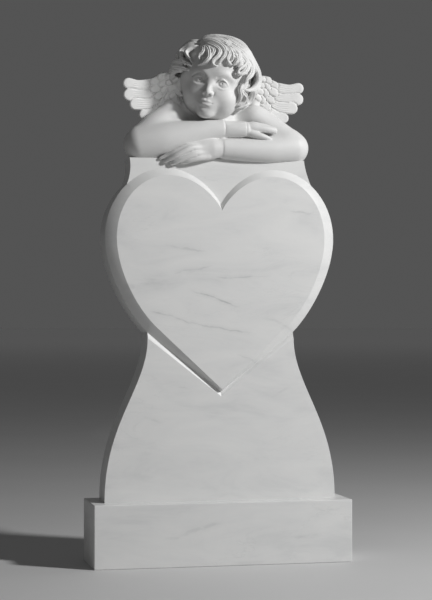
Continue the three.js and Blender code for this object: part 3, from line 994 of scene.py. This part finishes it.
# Arms and fingers: the middle and radius of the balls that each runs through
LEFT_ARM = [(-112, 14, 1026, 31), (-146, 8, 1000, 33), (-174, 4, 976, 32)]
LEFT_FOREARM = [
    (-182, -7, 960, 39.5), (-155, -11, 965, 40.5), (-122, -14, 971, 41),
    (-70, -22, 983, 32), (-30, -27, 991, 25.5), (3, -30, 996, 21.5),
]
LEFT_WRIST = [(8, -31, 995, 19.6), (56, -35, 996, 18.6)]
RIGHT_ARM = [(92, 14, 1028, 30), (130, 7, 1001, 32), (160, -6, 974, 34)]
RIGHT_FOREARM = [
    (174.5, -12, 957, 38.8), (142, -19, 954, 35), (110, -25, 951, 32),
    (54, -32, 949.5, 27), (8, -34, 951, 24),
]
LEFT_HAND = [
    egg((78, -37, 1001), (24, 14, 13.5), (0, 6, 0)),
    egg((60, -37, 992), (13, 13, 12)),
]
LEFT_FINGERS = [
    [(72, -32, 1005, 10), (95, -33, 1004, 8.5), (114, -31, 1000.5, 7.5), (126, -28, 997.5, 6.3)],
    [(72, -40, 999, 11), (96, -43, 998, 9), (115, -42, 996, 8), (126, -39, 994.5, 6.8)],
    [(62, -40, 989, 10), (76, -46, 984.5, 8.5), (93, -49, 980.5, 6.8),
     (106, -48, 977, 5.2), (114, -46, 974.5, 3.8)],
]
RIGHT_HAND = [
    egg((-34, -40, 947.5), (45, 17.5, 24.5), (0, -8, 0)),
    cone(np.array([-18, -37, 950, 21]), np.array([14, -34, 951, 21.5])),
]
RIGHT_FINGERS = [
    [(-48, -43, 957, 9), (-80, -51, 952.5, 6.8), (-108, -50, 941.5, 5.8),
     (-128, -42, 932, 5), (-142, -37, 926, 4)],
    [(-46, -47, 951, 9), (-76, -56, 948, 7.6), (-103, -54, 935, 6.9),
     (-120, -46, 925.5, 6.2), (-130, -40, 919.5, 5)],
    [(-40, -47, 941, 9), (-66, -54, 936, 7.6), (-90, -51, 926.5, 6.9),
     (-106, -45, 919, 6.2), (-115, -40, 915, 5)],
    [(-34, -46, 933, 9), (-54, -50, 928, 7.6), (-73, -48, 923, 6.8),
     (-84, -44, 919.5, 6), (-91, -40, 918, 5)],
]
KNUCKLES = [(-75, -64.2, 957), (-68, -64.8, 944), (-59, -62.8, 932)]
# Creases round the wrists, across X: an arc's middle and radius, and its end angles up from the front
CREASES = [
    ((1, -34, 950.5), 24.2, -85, 50),
    ((8, -30.5, 995.5), 20.6, -40, 85),
    ((58, -35.5, 996), 18.4, -45, 85),
]
CREASE_POINTS = 7


def arms(clay):
    for upper, fore in ((LEFT_ARM, LEFT_FOREARM), (RIGHT_ARM, RIGHT_FOREARM)):
        part = clay.fresh()
        part.care = 16.0
        part.add(limb(upper), 2)
        part.add(limb(fore), 11)
        clay.merge(part, 5)
    clay.add(limb(LEFT_WRIST), 0.8)


def hands(clay):
    for back, fingers in ((LEFT_HAND, LEFT_FINGERS), (RIGHT_HAND, RIGHT_FINGERS)):
        hand = clay.fresh()
        hand.care = 8.0
        for mass in back:
            hand.add(mass, 6)
        spread = clay.fresh()
        for finger in fingers:
            spread.add(limb(finger), 0.8)
        hand.merge(spread, 2.5)
        hand.soften(0.18)
        clay.merge(hand, 2.0)
    for place in KNUCKLES:
        clay.cut(egg(place, (3.0, 4.6, 2.4), (0, 30, 0)), 2.5)
    for (x, y, z), radius, first, last in CREASES:
        ways = np.radians(np.linspace(first, last, CREASE_POINTS))
        sizes = 0.4 + 1.2 * np.sin(np.linspace(0, np.pi, CREASE_POINTS))
        arc = [
            (x, y - radius * math.cos(way), z + radius * math.sin(way), size)
            for way, size in zip(ways, sizes)
        ]
        clay.cut(limb(arc, 4), 1.5)


# Wings: each blade's points are x, z and half width, the right wing's; the other is its mirror
FEATHERS = [
    [(118, 1108, 12), (150, 1102.5, 14), (180, 1099.5, 13), (203, 1104, 13)],
    [(118, 1092, 12), (150, 1078.5, 13), (178, 1076.5, 12.5), (201, 1078, 14.2)],
    [(118, 1078, 11), (146, 1060, 12.5), (168, 1056.5, 13), (187, 1056.5, 14)],
    [(112, 1064, 10), (136, 1043, 11.5), (152, 1035, 11.5), (167, 1032.5, 12)],
]
COVERTS = [
    [(112, 1117, 8), (130, 1115, 9), (144, 1109, 9.5)],
    [(108, 1104, 8), (128, 1098, 9), (144, 1091.5, 9)],
    [(104, 1094, 8), (120, 1084, 9), (135.5, 1074.5, 8.5)],
    [(100, 1080, 8), (114, 1068, 9), (127, 1057, 8.5)],
]
SMALL_COVERTS = [
    [(104, 1122, 7), (114, 1123, 8), (127, 1119.5, 9.5)],
    [(104, 1110, 7), (114, 1107, 8), (126, 1103, 8)],
    [(102, 1100, 7), (112, 1096, 7.5), (122, 1088.5, 7.5)],
    [(100, 1086, 7), (108, 1080, 7.5), (115, 1072, 7.5)],
]
LEAST_COVERTS = [
    [(98, 1122, 6), (106, 1122, 7), (114, 1121, 7)],
    [(98, 1110, 6), (105, 1109, 7), (112, 1106, 6.5)],
    [(96, 1098, 6), (102, 1095, 6.5), (109, 1091, 6.5)],
    [(94, 1084, 6), (99, 1080, 6.5), (104, 1075, 6.5)],
]
# Each row's blades, lift off the wing, further lift from blade to blade, and slant of the barbs
WING_ROWS = [
    (FEATHERS, 0.0, 0.8, 0.0),
    (COVERTS, 4.6, 0.5, 0.5),
    (SMALL_COVERTS, 8.2, 0.5, 0.6),
    (LEAST_COVERTS, 11.4, 0.4, 0.6),
]
WING_BOX = ((88.0, 14.0, 1010.0), (222.0, 48.0, 1134.0))
WING_FACE = 33.0
WING_BACK = 41.0
BLADE_CROWN = 2.4
BLADE_RIM = 0.7
BARB_PITCH = 4.5
BARB_DEPTH = 0.55
QUILL_GROOVE = 2.6


def blade(x, z, points, lift, slant):
    """A feather laid in the wing's plane: its edge's distance and its height."""
    rows = spline(points, 5)
    edge = np.full(np.broadcast(x, z).shape, FAR)
    across = np.zeros_like(edge)
    run = np.zeros_like(edge)
    length = 0.0
    for (ax, az, ar), (bx, bz, br) in zip(rows, rows[1:]):
        dx, dz = bx - ax, bz - az
        stretch = math.hypot(dx, dz)
        t = np.clip(((x - ax) * dx + (z - az) * dz) / stretch ** 2, 0, 1)
        px, pz = x - ax - t * dx, z - az - t * dz
        away = np.sqrt(px * px + pz * pz) - ar - t * (br - ar)
        nearer = away < edge
        edge = np.where(nearer, away, edge)
        across = np.where(nearer, np.abs(px * dz - pz * dx) / stretch, across)
        run = np.where(nearer, length + t * stretch, run)
        length += stretch
    round_off = 1 - np.clip(-edge / 5.0, 0, 1)
    rim = BLADE_RIM * np.exp(-((edge + 2.2) / 1.3) ** 2)
    inside = np.clip((-edge - 3.2) / 2.0, 0, 1) * np.clip((length - run) / 14.0, 0, 1)
    lines = BARB_DEPTH * np.cos(2 * np.pi * (across + slant * run) / BARB_PITCH) * inside
    return edge, lift + BLADE_CROWN * (1 - round_off ** 2) + rim + lines


def wing(side):
    low, high = WING_BOX
    if side < 0:
        low, high = (-high[0], low[1], low[2]), (-low[0], high[1], high[2])

    def distance(x, y, z):
        x = side * x
        outline = np.full(np.broadcast(x, z).shape, FAR)
        height = np.full(outline.shape, -FAR)
        for blades, lift, step, slant in WING_ROWS:
            for i, points in enumerate(blades):
                edge, raised = blade(x, z, points, lift + i * step, slant)
                outline = np.minimum(outline, edge)
                groove = QUILL_GROOVE * np.clip(1 - np.abs(edge - 0.6) / 2.2, 0, 1)
                height = np.where(edge < 0, np.maximum(height, raised), height - groove)
        height = np.maximum(height, 0)
        front = WING_FACE - height - y
        back = y - WING_BACK - 0.3 * height
        return (np.maximum(outline, np.maximum(front, back)) * 0.9).astype(np.float32)

    return Form(low, high, distance)


def wings(clay):
    for side in SIDES:
        clay.add(limb([(side * 94, 34, 1060, 15), (side * 108, 34, 1098, 12)]), 2)
        clay.add(wing(side), 0.8)


def shells(points, quads):
    """Each point's shell, as the lowest number among the points it hangs together with."""
    names = np.arange(len(points))
    while True:
        least = names[quads].min(1)
        fresh = names.copy()
        for k in range(4):
            np.minimum.at(fresh, quads[:, k], least)
        fresh = fresh[fresh]
        if (fresh == names).all():
            return names
        names = fresh


def unfolded(made):
    """Smooths the few points where thinning the mesh has folded a face over."""
    form = bmesh.new()
    form.from_mesh(made.data)
    for _ in range(UNFOLD_PASSES):
        form.normal_update()
        folded = [f for f in form.faces if any(f.normal.dot(v.normal) < FOLDED for v in f.verts)]
        points = list({vert for face in folded for vert in face.verts})
        bmesh.ops.smooth_vert(
            form, verts=points, factor=0.5, use_axis_x=True, use_axis_y=True, use_axis_z=True
        )
    form.to_mesh(made.data)
    form.free()


def mesh_from(clay, name, most):
    grid = openvdb.FloatGrid(FAR)
    grid.copyFromArray(clay.field)
    points, quads = grid.convertToQuads(0.0)
    quads = quads.astype(np.int64)
    names = shells(points, quads)
    values, counts = np.unique(names, return_counts=True)
    kept = names == values[counts.argmax()]
    quads = quads[kept[quads[:, 0]]]
    renumber = np.cumsum(kept) - 1
    quads = renumber[quads]
    points = points[kept] * clay.step + clay.low
    low, high = cad_box
    points = np.clip(points * MM, np.array(low) + INSET, np.array(high) - INSET)
    mesh = bpy.data.meshes.new(name)
    mesh.from_pydata(points, [], quads)
    mesh.update()
    made = bpy.data.objects.new(name, mesh)
    bpy.context.scene.collection.objects.link(made)
    triangles = 2 * len(quads)
    if triangles > most:
        thin = made.modifiers.new("thin", "DECIMATE")
        thin.ratio = most / triangles
        applied(made)
    unfolded(made)
    made.data.shade_smooth()
    return made


def make_cherub():
    clay = Clay(*BLOCK, VOXEL)
    body(clay)
    arms(clay)
    hands(clay)
    clay.cut(box_form(*SEAT), 0.5)
    feathered = clay.fresh()
    wings(feathered)
    clay.merge(feathered, 1.0)
    head = clay.fresh()
    head.where = HEAD
    head.care = 18.0
    head.add(egg((0, 6, 14), (76, 70, 86)), 1)
    head.where = FACE
    face_masses(head)
    eyes(head)
    nose(head)
    mouth(head)
    head.where = HEAD
    ears(head)
    curls = head.fresh()
    hair(curls)
    curls.soften(0.10)
    head.merge(curls, 0.8)
    clay.merge(head, 1.5)
    return mesh_from(clay, "marble_cherub", MOST_TRIANGLES)


# The studio

CAMERA_PLACE = (-0.86045, -3.84097, 0.57476)
CAMERA_TILT = 90.4201
CAMERA_YAW = -12.5752
CAMERA_LENS = 102.0
WORLD_GREY = (0.088, 0.088, 0.088, 1)
# What the lamps and the spotlight on the left wing point at
STONE_MIDDLE = (0, 0, 0.7)
LEFT_WING = (-0.178, 0.02, 1.095)


def make_floor():
    form = bmesh.new()
    bmesh.ops.create_circle(form, cap_ends=True, radius=60.0, segments=64)
    floor = object_from(form, "studio_floor")
    finish = Finish("pale_floor", 0.7)
    x, y, _ = finish.axes()
    far = (x * x + y * y) ** 0.5
    clouds = finish.noise(finish.place, 2.0, 3.0) * 0.1
    # Painted light: the floor grows paler with distance, standing in for the key light that weakens further
    # out
    colour = finish.mixed(far.ramp(5.0, 30.0) * 0.9 + clouds, FLOOR_NEAR, FLOOR_FAR_PAINTED_LIGHT)
    finish.feed("Base Color", colour)
    finish.shader.inputs["Specular IOR Level"].default_value = 0.15
    floor.data.materials.append(finish.material)


def lamp(name, place, target, size, power, beam=None):
    """A round soft light, or with a beam's angle a spotlight."""
    light = bpy.data.lights.new(name, "SPOT" if beam else "AREA")
    if beam:
        light.spot_size = math.radians(beam)
        light.spot_blend = 0.45
        light.shadow_soft_size = size / 2
    else:
        light.shape = "DISK"
        light.size = size
    light.energy = power
    made = bpy.data.objects.new(name, light)
    made.location = place
    aim = Vector(target) - Vector(place)
    made.rotation_euler = aim.to_track_quat("-Z", "Y").to_euler()
    bpy.context.scene.collection.objects.link(made)


def make_studio():
    make_floor()
    lamp("key_light", (2.3, -2.0, 2.35), STONE_MIDDLE, 0.35, 110)
    lamp("fill_light", (-2.5, -3.0, 1.2), STONE_MIDDLE, 2.0, 0.2)
    lamp("wing_light", (-0.7, -3.0, 1.9), LEFT_WING, 0.1, 90, beam=3.5)
    world = bpy.data.worlds.new("studio")
    world.use_nodes = True
    world.node_tree.nodes["Background"].inputs["Color"].default_value = WORLD_GREY
    bpy.context.scene.world = world
    bpy.context.scene.view_settings.view_transform = "Standard"
    camera = bpy.data.cameras.new("camera")
    camera.lens = CAMERA_LENS
    camera.sensor_width = 36.0
    camera.clip_end = 200.0
    eye = bpy.data.objects.new("camera", camera)
    eye.location = CAMERA_PLACE
    eye.rotation_euler = (math.radians(CAMERA_TILT), 0, math.radians(CAMERA_YAW))
    bpy.context.scene.collection.objects.link(eye)
    bpy.context.scene.camera = eye


veined = veined_marble()
plain = plain_marble()
dressed(make_plinth(), veined, "plinth")
dressed(make_headstone(), veined, "headstone")
dressed(make_cherub(), plain, "cherub")
make_studio()
